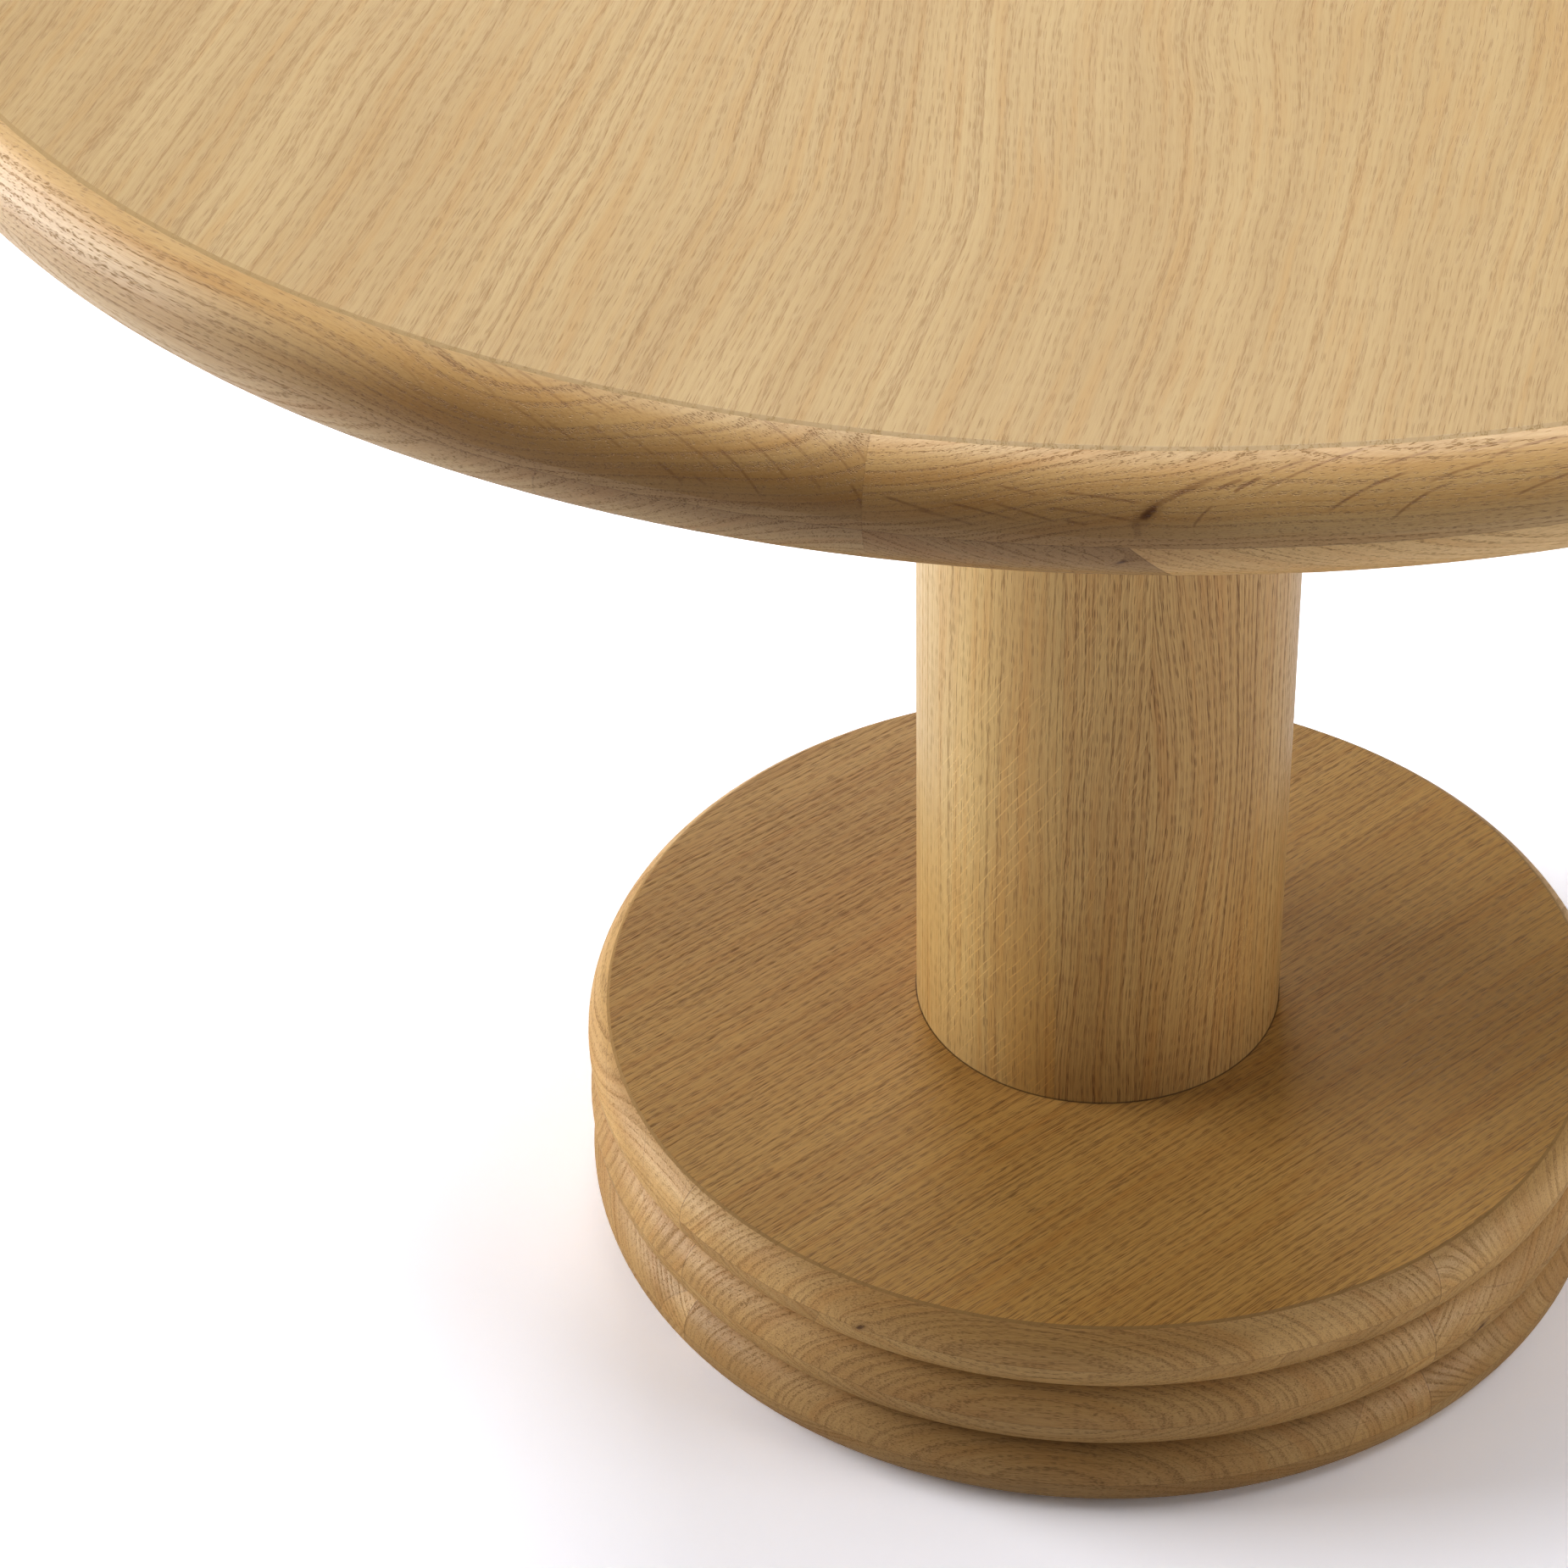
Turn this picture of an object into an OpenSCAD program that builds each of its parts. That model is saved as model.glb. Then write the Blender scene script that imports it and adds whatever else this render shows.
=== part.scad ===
// Round pedestal dining table. A veneered round top with a solid oak rounded
// lipping in six segments stands on a plain round column, and the column stands
// on a base of three equal discs with rounded oak rims in four segments each.
// Origin: the centre of the table's footprint on the floor. +Z is up, and -Y is
// the side that the first lipping joint faces. Millimetres.

/* [Table] */
// Overall height, from the floor to the top surface
table_h = 760; // [720:1:790]
// Gap between the floor and the underside of the base with the feet screwed in
floor_gap = 2; // [1.5:0.5:3]

/* [Top] */
// Diameter of the top
top_d = 1050; // [940:10:1200]
// Thickness of the top, veneers included
top_t = 50; // [46:1:56]
// How far the rounded edge runs in over each face of the top
top_round = 16; // [13:1:19]
// Width of the solid lipping, the part under the veneer included
lip_w = 45; // [42:1:60]
// Azimuth of the first joint between two lipping segments
lip_joint = -98.8; // [-130:0.1:-70]
// Thickness of every face veneer
veneer_t = 0.8; // [0.6:0.1:1.2]

/* [Column] */
// Diameter of the column
column_d = 177; // [170:1:190]
// Wall thickness of the column's inner staves
stave_t = 35.7; // [34:0.1:37]
// Height of the plug in each end of the column
plug_h = 48; // [45:1:70]
// Azimuth where the narrow front veneer strip begins
strip_start = -102.2; // [-120:0.1:-90]
// Angle that the narrow front veneer strip covers
strip_angle = 25.4; // [15:0.1:40]

/* [Base] */
// Diameter of the three base discs
base_d = 500; // [490:2:560]
// Thickness of each base disc
disc_t = 36; // [35:0.5:40]
// How far the rounded edge runs in over each face of a disc
disc_round = 11; // [9:0.5:13]
// Width of the solid rim of a disc, the part under the veneer included
rim_w = 35; // [33:1:36]
// Azimuth of the first joint between two rim segments
rim_joint = -140; // [-160:0.5:-125]

/* [Levelling feet] */
// Distance of each foot from the table's axis
foot_r = 194; // [192:1:195]
// Diameter of a foot's pad
pad_d = 32; // [28:1:33]
// How far a foot screws out
foot_travel = 10; // [6:1:12]

/* [Steelwork] */
// Diameter of the plate between the column and the top
plate_d = 320; // [300:5:340]
// Thickness of that plate
plate_t = 6; // [5:0.5:8]
// Diameter of the tie rod down the column's centre
rod_d = 16; // [14:1:16]
// Diameter of the ballast plate under the base
ballast_d = 340; // [300:5:342]
// Thickness of the ballast plate
ballast_t = 12; // [10:0.5:12]

/* [Hidden] */
$fn = 96;

// Colours
oak_top = "#D4B588";
oak_lip = "#C6A273";
oak_column = "#AD8859";
oak_base = "#9A7446";
oak_rim = "#82613A";
board = "#C9B28C";
ply = "#CBAE7F";
beech = "#D9B68C";
black_steel = "#26272A";
zinc = "#A9ABAD";
brass = "#B5924C";
nylon = "#2B2B2D";

// Heights
base_z = floor_gap;                     // underside of the base
base_top = base_z + 3 * disc_t;         // top of the base, where the column stands
top_z = table_h - top_t;                // underside of the top, where the column ends
top_mid = table_h - top_t / 2;          // middle plane of the top
plate_z = top_z;                        // underside of the steel plate
function disc_z(i) = base_z + i * disc_t;   // underside of disc i, from the floor up

// Radii
top_r = top_d / 2;
lip_in = top_r - lip_w;
base_r = base_d / 2;
rim_in = base_r - rim_w;
column_r = column_d / 2;
stave_out = column_r - veneer_t;
stave_in = stave_out - stave_t;
plug_r = stave_in - 0.1;
rod_r = rod_d / 2;

// Lipping and rims
lip_n = 6;
rim_n = 4;
lip_step = 360 / lip_n;
rim_step = 360 / rim_n;
dowel_r = 4;
dowel_l = 40;
dowel_gap = 0.1;
lip_dowels = [7.5, 22.5, 37.5, 52.5];   // azimuths within a lipping segment
rim_dowels = [15, 45, 75];              // azimuths within a rim segment
lip_dowel_r = lip_in - 21.5;            // inner end of a radial dowel in the top
rim_dowel_r = rim_in - 19;              // inner end of a radial dowel in a disc
lip_end_r = top_r - 25;                 // radius of the dowels in the lipping's joints
rim_end_r = base_r - 18;                // radius of the dowels in the rims' joints

// Rounded edge: an arc of radius arc(b, s) over half a thickness b, s deep
function arc(b, s) = (b * b + s * s) / (2 * s);

// Fastener circles
plate_screw_r = 135;
plate_screw_n = 8;
insert_r = 4.5;
pin_r = 5;
pin_at = 38;
foot_dowel_at = 30;
bolt_at = 195;
bolt_az = [for (k = [0:3]) rim_joint + 30 + 90 * k];
foot_az = [for (k = [0:3]) rim_joint + 5 + 90 * k];
ballast_screw_r = 120;
ballast_screw_n = 6;
ballast_z = base_z + 1;
ballast_top = ballast_z + ballast_t;
washer_r = 27;
washer_t = 4;
nut_h = 13;

// Feet
pad_r = pad_d / 2;
recess_r = pad_r + 2;
recess_top = base_z + 8.6;              // ceiling of a foot's recess
flange_t = 1.6;                         // flange of a foot's threaded insert
stem_r = 4;
collar_r = 7;

// ---------------------------------------------------------------- profiles

// Cross-section of a disc with a rounded edge, between radii r0 and r1 and
// heights z0 and z1. The edge is one arc about the disc's middle plane zm.
module edge_section(r0, r1, s, zm, b, z0, z1) {
    r = arc(b, s);
    intersection() {
        union() {
            translate([r0, z0]) square([r1 - s - r0, z1 - z0]);
            translate([r1 - r, zm]) circle(r = r);
        }
        translate([r0, z0]) square([r1 - r0, z1 - z0]);
    }
}

// A bar along a radius, from radius r outwards
module radial(az, r, z, l, rad) {
    rotate([0, 0, az]) translate([r, 0, z]) rotate([0, 90, 0]) cylinder(h = l, r = rad);
}

// A bar along a tangent, centred on the azimuth
module tangential(az, r, z, l, rad) {
    rotate([0, 0, az]) translate([r, l / 2, z]) rotate([90, 0, 0]) cylinder(h = l, r = rad);
}

module at(az, r) {
    rotate([0, 0, az]) translate([r, 0, 0]) children();
}

// ---------------------------------------------------------------- top

module top_core() color(board)
    difference() {
        translate([0, 0, top_z + veneer_t]) cylinder(h = top_t - 2 * veneer_t, r = lip_in - 0.1);
        translate([0, 0, top_z - 1]) cylinder(h = plate_t + 1, r = plate_d / 2 + 1);
        for (k = [0:lip_n - 1], a = lip_dowels)
            radial(lip_joint + k * lip_step + a, lip_dowel_r - 0.5, top_mid, lip_w, dowel_r + dowel_gap);
        for (k = [0:plate_screw_n - 1])
            at(k * 45 + 22.5, plate_screw_r) translate([0, 0, top_z + 1]) cylinder(h = plate_t + 23, r = insert_r + 0.05);
    }

module top_face_veneer() color(oak_top)
    rotate_extrude()
        edge_section(0, top_r, top_round, top_mid, top_t / 2, table_h - veneer_t, table_h);

module top_back_veneer() color(oak_top)
    rotate_extrude()
        edge_section(plate_d / 2 + 1, top_r, top_round, top_mid, top_t / 2, top_z, top_z + veneer_t);

// One segment of the top's lipping: a laminated oak blank with its bores
module lipping(k) {
    a0 = lip_joint + k * lip_step;
    difference() {
        rotate([0, 0, a0]) rotate_extrude(angle = lip_step)
            edge_section(lip_in, top_r, top_round, top_mid, top_t / 2, top_z + veneer_t, table_h - veneer_t);
        for (a = lip_dowels)
            radial(a0 + a, lip_dowel_r - 0.5, top_mid, dowel_l + 1, dowel_r + dowel_gap);
        for (a = [0, lip_step])
            tangential(a0 + a, lip_end_r, top_mid, dowel_l + 1, dowel_r + dowel_gap);
    }
}
module top_lipping_1() color(oak_lip) lipping(0);
module top_lipping_2() color(oak_lip) lipping(1);
module top_lipping_3() color(oak_lip) lipping(2);
module top_lipping_4() color(oak_lip) lipping(3);
module top_lipping_5() color(oak_lip) lipping(4);
module top_lipping_6() color(oak_lip) lipping(5);

// Beech dowels: four from the core into each segment, and one in each joint
module top_edge_dowels() color(beech)
    for (k = [0:lip_n - 1]) {
        for (a = lip_dowels)
            radial(lip_joint + k * lip_step + a, lip_dowel_r, top_mid, dowel_l, dowel_r);
        tangential(lip_joint + k * lip_step, lip_end_r, top_mid, dowel_l, dowel_r);
    }

// ---------------------------------------------------------------- plate between column and top

module countersunk(r_head, r_shank, z, l) {
    difference() {
        union() {
            translate([0, 0, z]) cylinder(h = r_head - r_shank, r1 = r_head, r2 = r_shank);
            translate([0, 0, z + r_head - r_shank]) cylinder(h = l - (r_head - r_shank), r = r_shank);
        }
        translate([0, 0, z - 1]) cylinder(h = 3.2, r = 2.3, $fn = 6);
    }
}

module top_plate() color(black_steel)
    difference() {
        translate([0, 0, plate_z]) cylinder(h = plate_t, r = plate_d / 2);
        for (k = [0:plate_screw_n - 1])
            at(k * 45 + 22.5, plate_screw_r) translate([0, 0, plate_z]) {
                translate([0, 0, -1]) cylinder(h = plate_t + 2, r = 3.3);
                translate([0, 0, -0.1]) cylinder(h = 3.3, r1 = 6.3, r2 = 3);
            }
        for (k = [0, 1])
            at(180 * k, pin_at) translate([0, 0, plate_z - 1]) cylinder(h = 5.5, r = pin_r + 0.02);
    }

module plate_screws() color(zinc)
    for (k = [0:plate_screw_n - 1])
        at(k * 45 + 22.5, plate_screw_r) countersunk(6, 3, plate_z, 26);

module plate_inserts() color(brass)
    for (k = [0:plate_screw_n - 1])
        at(k * 45 + 22.5, plate_screw_r) translate([0, 0, plate_z + plate_t])
            difference() {
                cylinder(h = 15, r = insert_r);
                translate([0, 0, -1]) cylinder(h = 17, r = 3.05);
            }

// The tie rod's threaded boss, welded under the plate
module rod_boss() color(black_steel)
    translate([0, 0, plate_z - 20])
        difference() {
            cylinder(h = 20, r = 20);
            translate([0, 0, -1]) cylinder(h = 22, r = rod_r + 0.05);
        }

// Two steel pins that stop the plate turning on the column
module head_pins() color(zinc)
    for (k = [0, 1])
        at(180 * k, pin_at) translate([0, 0, plate_z - 18]) cylinder(h = 22, r = pin_r);

// ---------------------------------------------------------------- column

module column_staves() color(ply)
    for (k = [0:11])
        rotate([0, 0, 30 * k + 0.02]) rotate_extrude(angle = 29.96)
            translate([stave_in, base_top]) square([stave_t, top_z - base_top]);

module column_top_plug() color(ply)
    difference() {
        translate([0, 0, top_z - plug_h]) cylinder(h = plug_h, r = plug_r);
        translate([0, 0, top_z - plug_h - 1]) cylinder(h = plug_h + 2, r = rod_r + 1);
        translate([0, 0, plate_z - 20.5]) cylinder(h = 22, r = 20.5);
        for (k = [0, 1])
            at(180 * k, pin_at) translate([0, 0, plate_z - 18.5]) cylinder(h = 20, r = pin_r + 0.05);
    }

module column_bottom_plug() color(ply)
    difference() {
        translate([0, 0, base_top]) cylinder(h = plug_h, r = plug_r);
        translate([0, 0, base_top - 1]) cylinder(h = plug_h + 2, r = rod_r + 1);
        for (k = [0, 1])
            at(180 * k, foot_dowel_at) translate([0, 0, base_top - 1]) cylinder(h = 21, r = 6.05);
    }

// One leaf of the column's veneer, from azimuth a0 over an angle
module leaf(a0, a)
    rotate([0, 0, a0]) rotate_extrude(angle = a)
        translate([stave_out, base_top]) square([veneer_t, top_z - base_top]);

leaf_a = (360 - strip_angle) / 4;
module column_veneer_front() color(oak_column) leaf(strip_start, strip_angle);
module column_veneer_right() color(oak_column) leaf(strip_start + strip_angle, leaf_a);
module column_veneer_back_right() color(oak_column) leaf(strip_start + strip_angle + leaf_a, leaf_a);
module column_veneer_back_left() color(oak_column) leaf(strip_start + strip_angle + 2 * leaf_a, leaf_a);
module column_veneer_left() color(oak_column) leaf(strip_start + strip_angle + 3 * leaf_a, leaf_a);

// Steel rod that clamps base, column and plate together
module tie_rod() color(zinc)
    translate([0, 0, base_z + 2]) cylinder(h = plate_z - 2 - (base_z + 2), r = rod_r);

module rod_washer() color(zinc)
    translate([0, 0, ballast_top + 1])
        difference() {
            cylinder(h = washer_t, r = washer_r);
            translate([0, 0, -1]) cylinder(h = washer_t + 2, r = rod_r + 0.3);
        }

module rod_nut() color(zinc)
    translate([0, 0, ballast_top + 1 - nut_h])
        difference() {
            cylinder(h = nut_h, r = 13.856, $fn = 6);
            translate([0, 0, -1]) cylinder(h = nut_h + 2, r = rod_r + 0.05);
        }

// Two beech dowels that stop the column turning on the base
module column_foot_dowels() color(beech)
    for (k = [0, 1])
        at(180 * k, foot_dowel_at) translate([0, 0, base_top - 19]) cylinder(h = 38, r = 6);

// ---------------------------------------------------------------- base

// Bores that every disc core shares: the tie rod, and dowels into its rim
module core_bores(z) {
    translate([0, 0, z - 1]) cylinder(h = disc_t + 2, r = rod_r + 1);
    for (k = [0:rim_n - 1], a = rim_dowels)
        radial(rim_joint + k * rim_step + a, rim_dowel_r - 0.5, z + disc_t / 2, rim_w, dowel_r + dowel_gap);
}

module upper_disc_core() color(board)
    difference() {
        translate([0, 0, disc_z(2)]) cylinder(h = disc_t - veneer_t, r = rim_in - 0.1);
        core_bores(disc_z(2));
        for (a = bolt_az)
            at(a, bolt_at) translate([0, 0, disc_z(2) - 1]) cylinder(h = 21, r = 5.55);
        for (k = [0, 1])
            at(180 * k, foot_dowel_at) translate([0, 0, base_top - 20]) cylinder(h = 21, r = 6.05);
    }

module middle_disc_core() color(board)
    difference() {
        translate([0, 0, disc_z(1)]) cylinder(h = disc_t, r = rim_in - 0.1);
        core_bores(disc_z(1));
        for (a = bolt_az)
            at(a, bolt_at) translate([0, 0, disc_z(1) - 1]) cylinder(h = disc_t + 2, r = 4.25);
    }

module lower_disc_core() color(board)
    difference() {
        translate([0, 0, disc_z(0)]) cylinder(h = disc_t, r = rim_in - 0.1);
        core_bores(disc_z(0));
        // recess for the ballast plate, and a deeper one for the rod's washer
        translate([0, 0, base_z - 1]) cylinder(h = ballast_top - base_z + 1, r = ballast_d / 2 + 1);
        translate([0, 0, ballast_top - 1]) cylinder(h = washer_t + 2, r = washer_r + 1);
        for (k = [0:ballast_screw_n - 1])
            at(60 * k, ballast_screw_r) translate([0, 0, ballast_top - 1]) cylinder(h = 20, r = 3.05);
        for (a = bolt_az)
            at(a, bolt_at) {
                translate([0, 0, base_z - 1]) cylinder(h = disc_t + 2, r = 4.25);
                translate([0, 0, base_z - 1]) cylinder(h = 7, r = 9.5);
            }
        for (a = foot_az)
            at(a, foot_r) {
                translate([0, 0, base_z - 1]) cylinder(h = recess_top - base_z + 1, r = recess_r);
                translate([0, 0, base_z]) cylinder(h = disc_t - 1, r = 5.55);
            }
    }

// One rim segment of disc i: a laminated oak blank with its bores
module rim(i, k, z1) {
    a0 = rim_joint + k * rim_step;
    z = disc_z(i);
    difference() {
        rotate([0, 0, a0]) rotate_extrude(angle = rim_step)
            edge_section(rim_in, base_r, disc_round, z + disc_t / 2, disc_t / 2, z, z1);
        for (a = rim_dowels)
            radial(a0 + a, rim_dowel_r - 0.5, z + disc_t / 2, dowel_l + 1, dowel_r + dowel_gap);
        for (a = [0, rim_step])
            tangential(a0 + a, rim_end_r, z + disc_t / 2, dowel_l + 1, dowel_r + dowel_gap);
    }
}
module upper_rim_1() color(oak_rim) rim(2, 0, base_top - veneer_t);
module upper_rim_2() color(oak_rim) rim(2, 1, base_top - veneer_t);
module upper_rim_3() color(oak_rim) rim(2, 2, base_top - veneer_t);
module upper_rim_4() color(oak_rim) rim(2, 3, base_top - veneer_t);
module middle_rim_1() color(oak_rim) rim(1, 0, disc_z(2));
module middle_rim_2() color(oak_rim) rim(1, 1, disc_z(2));
module middle_rim_3() color(oak_rim) rim(1, 2, disc_z(2));
module middle_rim_4() color(oak_rim) rim(1, 3, disc_z(2));
module lower_rim_1() color(oak_rim) rim(0, 0, disc_z(1));
module lower_rim_2() color(oak_rim) rim(0, 1, disc_z(1));
module lower_rim_3() color(oak_rim) rim(0, 2, disc_z(1));
module lower_rim_4() color(oak_rim) rim(0, 3, disc_z(1));

module base_top_veneer() color(oak_base)
    difference() {
        rotate_extrude()
            edge_section(0, base_r, disc_round, base_top - disc_t / 2, disc_t / 2, base_top - veneer_t, base_top);
        translate([0, 0, base_top - 2]) cylinder(h = 4, r = rod_r + 1);
        for (k = [0, 1])
            at(180 * k, foot_dowel_at) translate([0, 0, base_top - 2]) cylinder(h = 4, r = 6.05);
    }

// Beech dowels: three from each core into each rim segment, and one in each joint
module base_rim_dowels() color(beech)
    for (i = [0:2], k = [0:rim_n - 1]) {
        for (a = rim_dowels)
            radial(rim_joint + k * rim_step + a, rim_dowel_r, disc_z(i) + disc_t / 2, dowel_l, dowel_r);
        tangential(rim_joint + k * rim_step, rim_end_r, disc_z(i) + disc_t / 2, dowel_l, dowel_r);
    }

// Steel plate that weights the base
module ballast_plate() color(black_steel)
    difference() {
        translate([0, 0, ballast_z]) cylinder(h = ballast_t, r = ballast_d / 2);
        translate([0, 0, ballast_z - 1]) cylinder(h = ballast_t + 2, r = washer_r + 3);
        for (k = [0:ballast_screw_n - 1])
            at(60 * k, ballast_screw_r) {
                translate([0, 0, ballast_z - 1]) cylinder(h = ballast_t + 2, r = 3.3);
                translate([0, 0, ballast_z - 0.1]) cylinder(h = 3.3, r1 = 6.3, r2 = 3);
            }
    }

module ballast_screws() color(zinc)
    for (k = [0:ballast_screw_n - 1])
        at(60 * k, ballast_screw_r) countersunk(6, 3, ballast_z, 29);

// Four bolts that pull the three discs together, with sockets in their heads
module stack_bolts() color(zinc)
    for (a = bolt_az)
        at(a, bolt_at)
            difference() {
                union() {
                    translate([0, 0, base_z + 1.5]) cylinder(h = 4.5, r = 8.5);
                    translate([0, 0, base_z + 6]) cylinder(h = 2 * disc_t + 10, r = 4);
                }
                translate([0, 0, base_z + 1]) cylinder(h = 3.5, r = 2.9, $fn = 6);
            }

module stack_inserts() color(brass)
    for (a = bolt_az)
        at(a, bolt_at) translate([0, 0, disc_z(2)])
            difference() {
                cylinder(h = 15, r = 5.5);
                translate([0, 0, -1]) cylinder(h = 17, r = 4.05);
            }

// ---------------------------------------------------------------- levelling feet

// Flanged threaded inserts that the feet screw into
module foot_inserts() color(zinc)
    for (a = foot_az)
        at(a, foot_r)
            difference() {
                union() {
                    translate([0, 0, recess_top - flange_t]) cylinder(h = flange_t, r = 11);
                    translate([0, 0, recess_top]) cylinder(h = 19.4, r = 5.5);
                }
                translate([0, 0, recess_top - 3]) cylinder(h = 24, r = stem_r + 0.05);
            }

// The pad stands on the floor and holds the stem's collar in a round socket
module foot_pad(k)
    at(foot_az[k], foot_r)
        rotate_extrude()
            polygon([[0, 0], [pad_r - 0.8, 0], [pad_r, 0.8], [pad_r, 5.6], [pad_r - 1.2, 6.8],
                     [collar_r + 0.05, 6.8], [collar_r + 0.05, 3.4], [0, 3.4]]);
module foot_pad_1() color(nylon) foot_pad(0);
module foot_pad_2() color(nylon) foot_pad(1);
module foot_pad_3() color(nylon) foot_pad(2);
module foot_pad_4() color(nylon) foot_pad(3);

// The threaded stem, with a round collar in the pad and a hexagon for a spanner
module foot_stem(k)
    at(foot_az[k], foot_r) {
        translate([0, 0, 3.5]) cylinder(h = 3.4, r = collar_r);
        translate([0, 0, 6.9]) cylinder(h = recess_top - flange_t - 0.1 - 6.9, r = 7.5, $fn = 6);
        translate([0, 0, 6.9]) cylinder(h = 27.1, r = stem_r);
    }
module foot_stem_1() color(zinc) foot_stem(0);
module foot_stem_2() color(zinc) foot_stem(1);
module foot_stem_3() color(zinc) foot_stem(2);
module foot_stem_4() color(zinc) foot_stem(3);

// ---------------------------------------------------------------- nodes

top_core();
top_face_veneer();
top_back_veneer();
top_lipping_1();
top_lipping_2();
top_lipping_3();
top_lipping_4();
top_lipping_5();
top_lipping_6();
top_edge_dowels();
top_plate();
plate_screws();
plate_inserts();
rod_boss();
column_staves();
column_top_plug();
column_bottom_plug();
column_veneer_front();
column_veneer_right();
column_veneer_back_right();
column_veneer_back_left();
column_veneer_left();
tie_rod();
rod_washer();
rod_nut();
head_pins();
column_foot_dowels();
upper_disc_core();
middle_disc_core();
lower_disc_core();
upper_rim_1();
upper_rim_2();
upper_rim_3();
upper_rim_4();
middle_rim_1();
middle_rim_2();
middle_rim_3();
middle_rim_4();
lower_rim_1();
lower_rim_2();
lower_rim_3();
lower_rim_4();
base_top_veneer();
base_rim_dowels();
ballast_plate();
ballast_screws();
stack_bolts();
stack_inserts();
foot_inserts();
foot_pad_1();
foot_pad_2();
foot_pad_3();
foot_pad_4();
foot_stem_1();
foot_stem_2();
foot_stem_3();
foot_stem_4();
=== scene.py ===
"""Round pedestal table in oak: looks, light and camera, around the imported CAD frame.

Every CAD node keeps its place and its mesh. The oak is a solid, three-dimensional
growth-ring model in each board's own axes, so the grain runs straight through a
segment and leaves its curved face near the joints, as it does on a real one.
Metres, in the CAD frame. The node maths below works in millimetres.
"""

import math
import random

import bpy
from mathutils import Matrix, Vector

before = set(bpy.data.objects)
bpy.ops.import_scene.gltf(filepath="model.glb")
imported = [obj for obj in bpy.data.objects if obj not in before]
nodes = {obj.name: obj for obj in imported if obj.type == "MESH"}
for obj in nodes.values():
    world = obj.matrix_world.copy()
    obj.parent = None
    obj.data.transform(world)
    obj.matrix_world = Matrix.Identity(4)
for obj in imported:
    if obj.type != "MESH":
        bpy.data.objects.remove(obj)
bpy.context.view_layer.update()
scene = bpy.context.scene

# ------------------------------------------------------------------ camera
YAW, PITCH, ROLL = math.radians(-4.3455), math.radians(-35.2908), math.radians(-0.9274)
look = Vector(
    (math.sin(YAW) * math.cos(PITCH), math.cos(YAW) * math.cos(PITCH), math.sin(PITCH))
)
right0 = Vector((math.cos(YAW), -math.sin(YAW), 0.0))
up0 = right0.cross(look)
right = right0 * math.cos(ROLL) + up0 * math.sin(ROLL)
up = up0 * math.cos(ROLL) - right0 * math.sin(ROLL)

camera_data = bpy.data.cameras.new("camera")
camera_data.sensor_width = 36.0
camera_data.sensor_fit = "HORIZONTAL"
camera_data.lens = 107.619
camera_data.shift_x = -0.021112
camera_data.shift_y = -0.114903
camera_data.clip_start, camera_data.clip_end = 0.05, 60.0
camera = bpy.data.objects.new("camera", camera_data)
scene.collection.objects.link(camera)
camera.matrix_world = Matrix(
    (
        (right.x, up.x, -look.x, 0.0),
        (right.y, up.y, -look.y, -1.77138),
        (right.z, up.z, -look.z, 1.59058),
        (0.0, 0.0, 0.0, 1.0),
    )
)
scene.camera = camera
scene.view_settings.view_transform = "Standard"
scene.view_settings.look = "None"
scene.view_settings.exposure = 0.0
scene.view_settings.gamma = 0.8


# ------------------------------------------------------------------ node maths
def srgb(r, g, b):
    """A display colour, 0 to 255, as the linear colour a shader takes."""

    def one(c):
        c /= 255.0
        return c / 12.92 if c <= 0.04045 else ((c + 0.055) / 1.055) ** 2.4

    return (one(r), one(g), one(b), 1.0)


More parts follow.
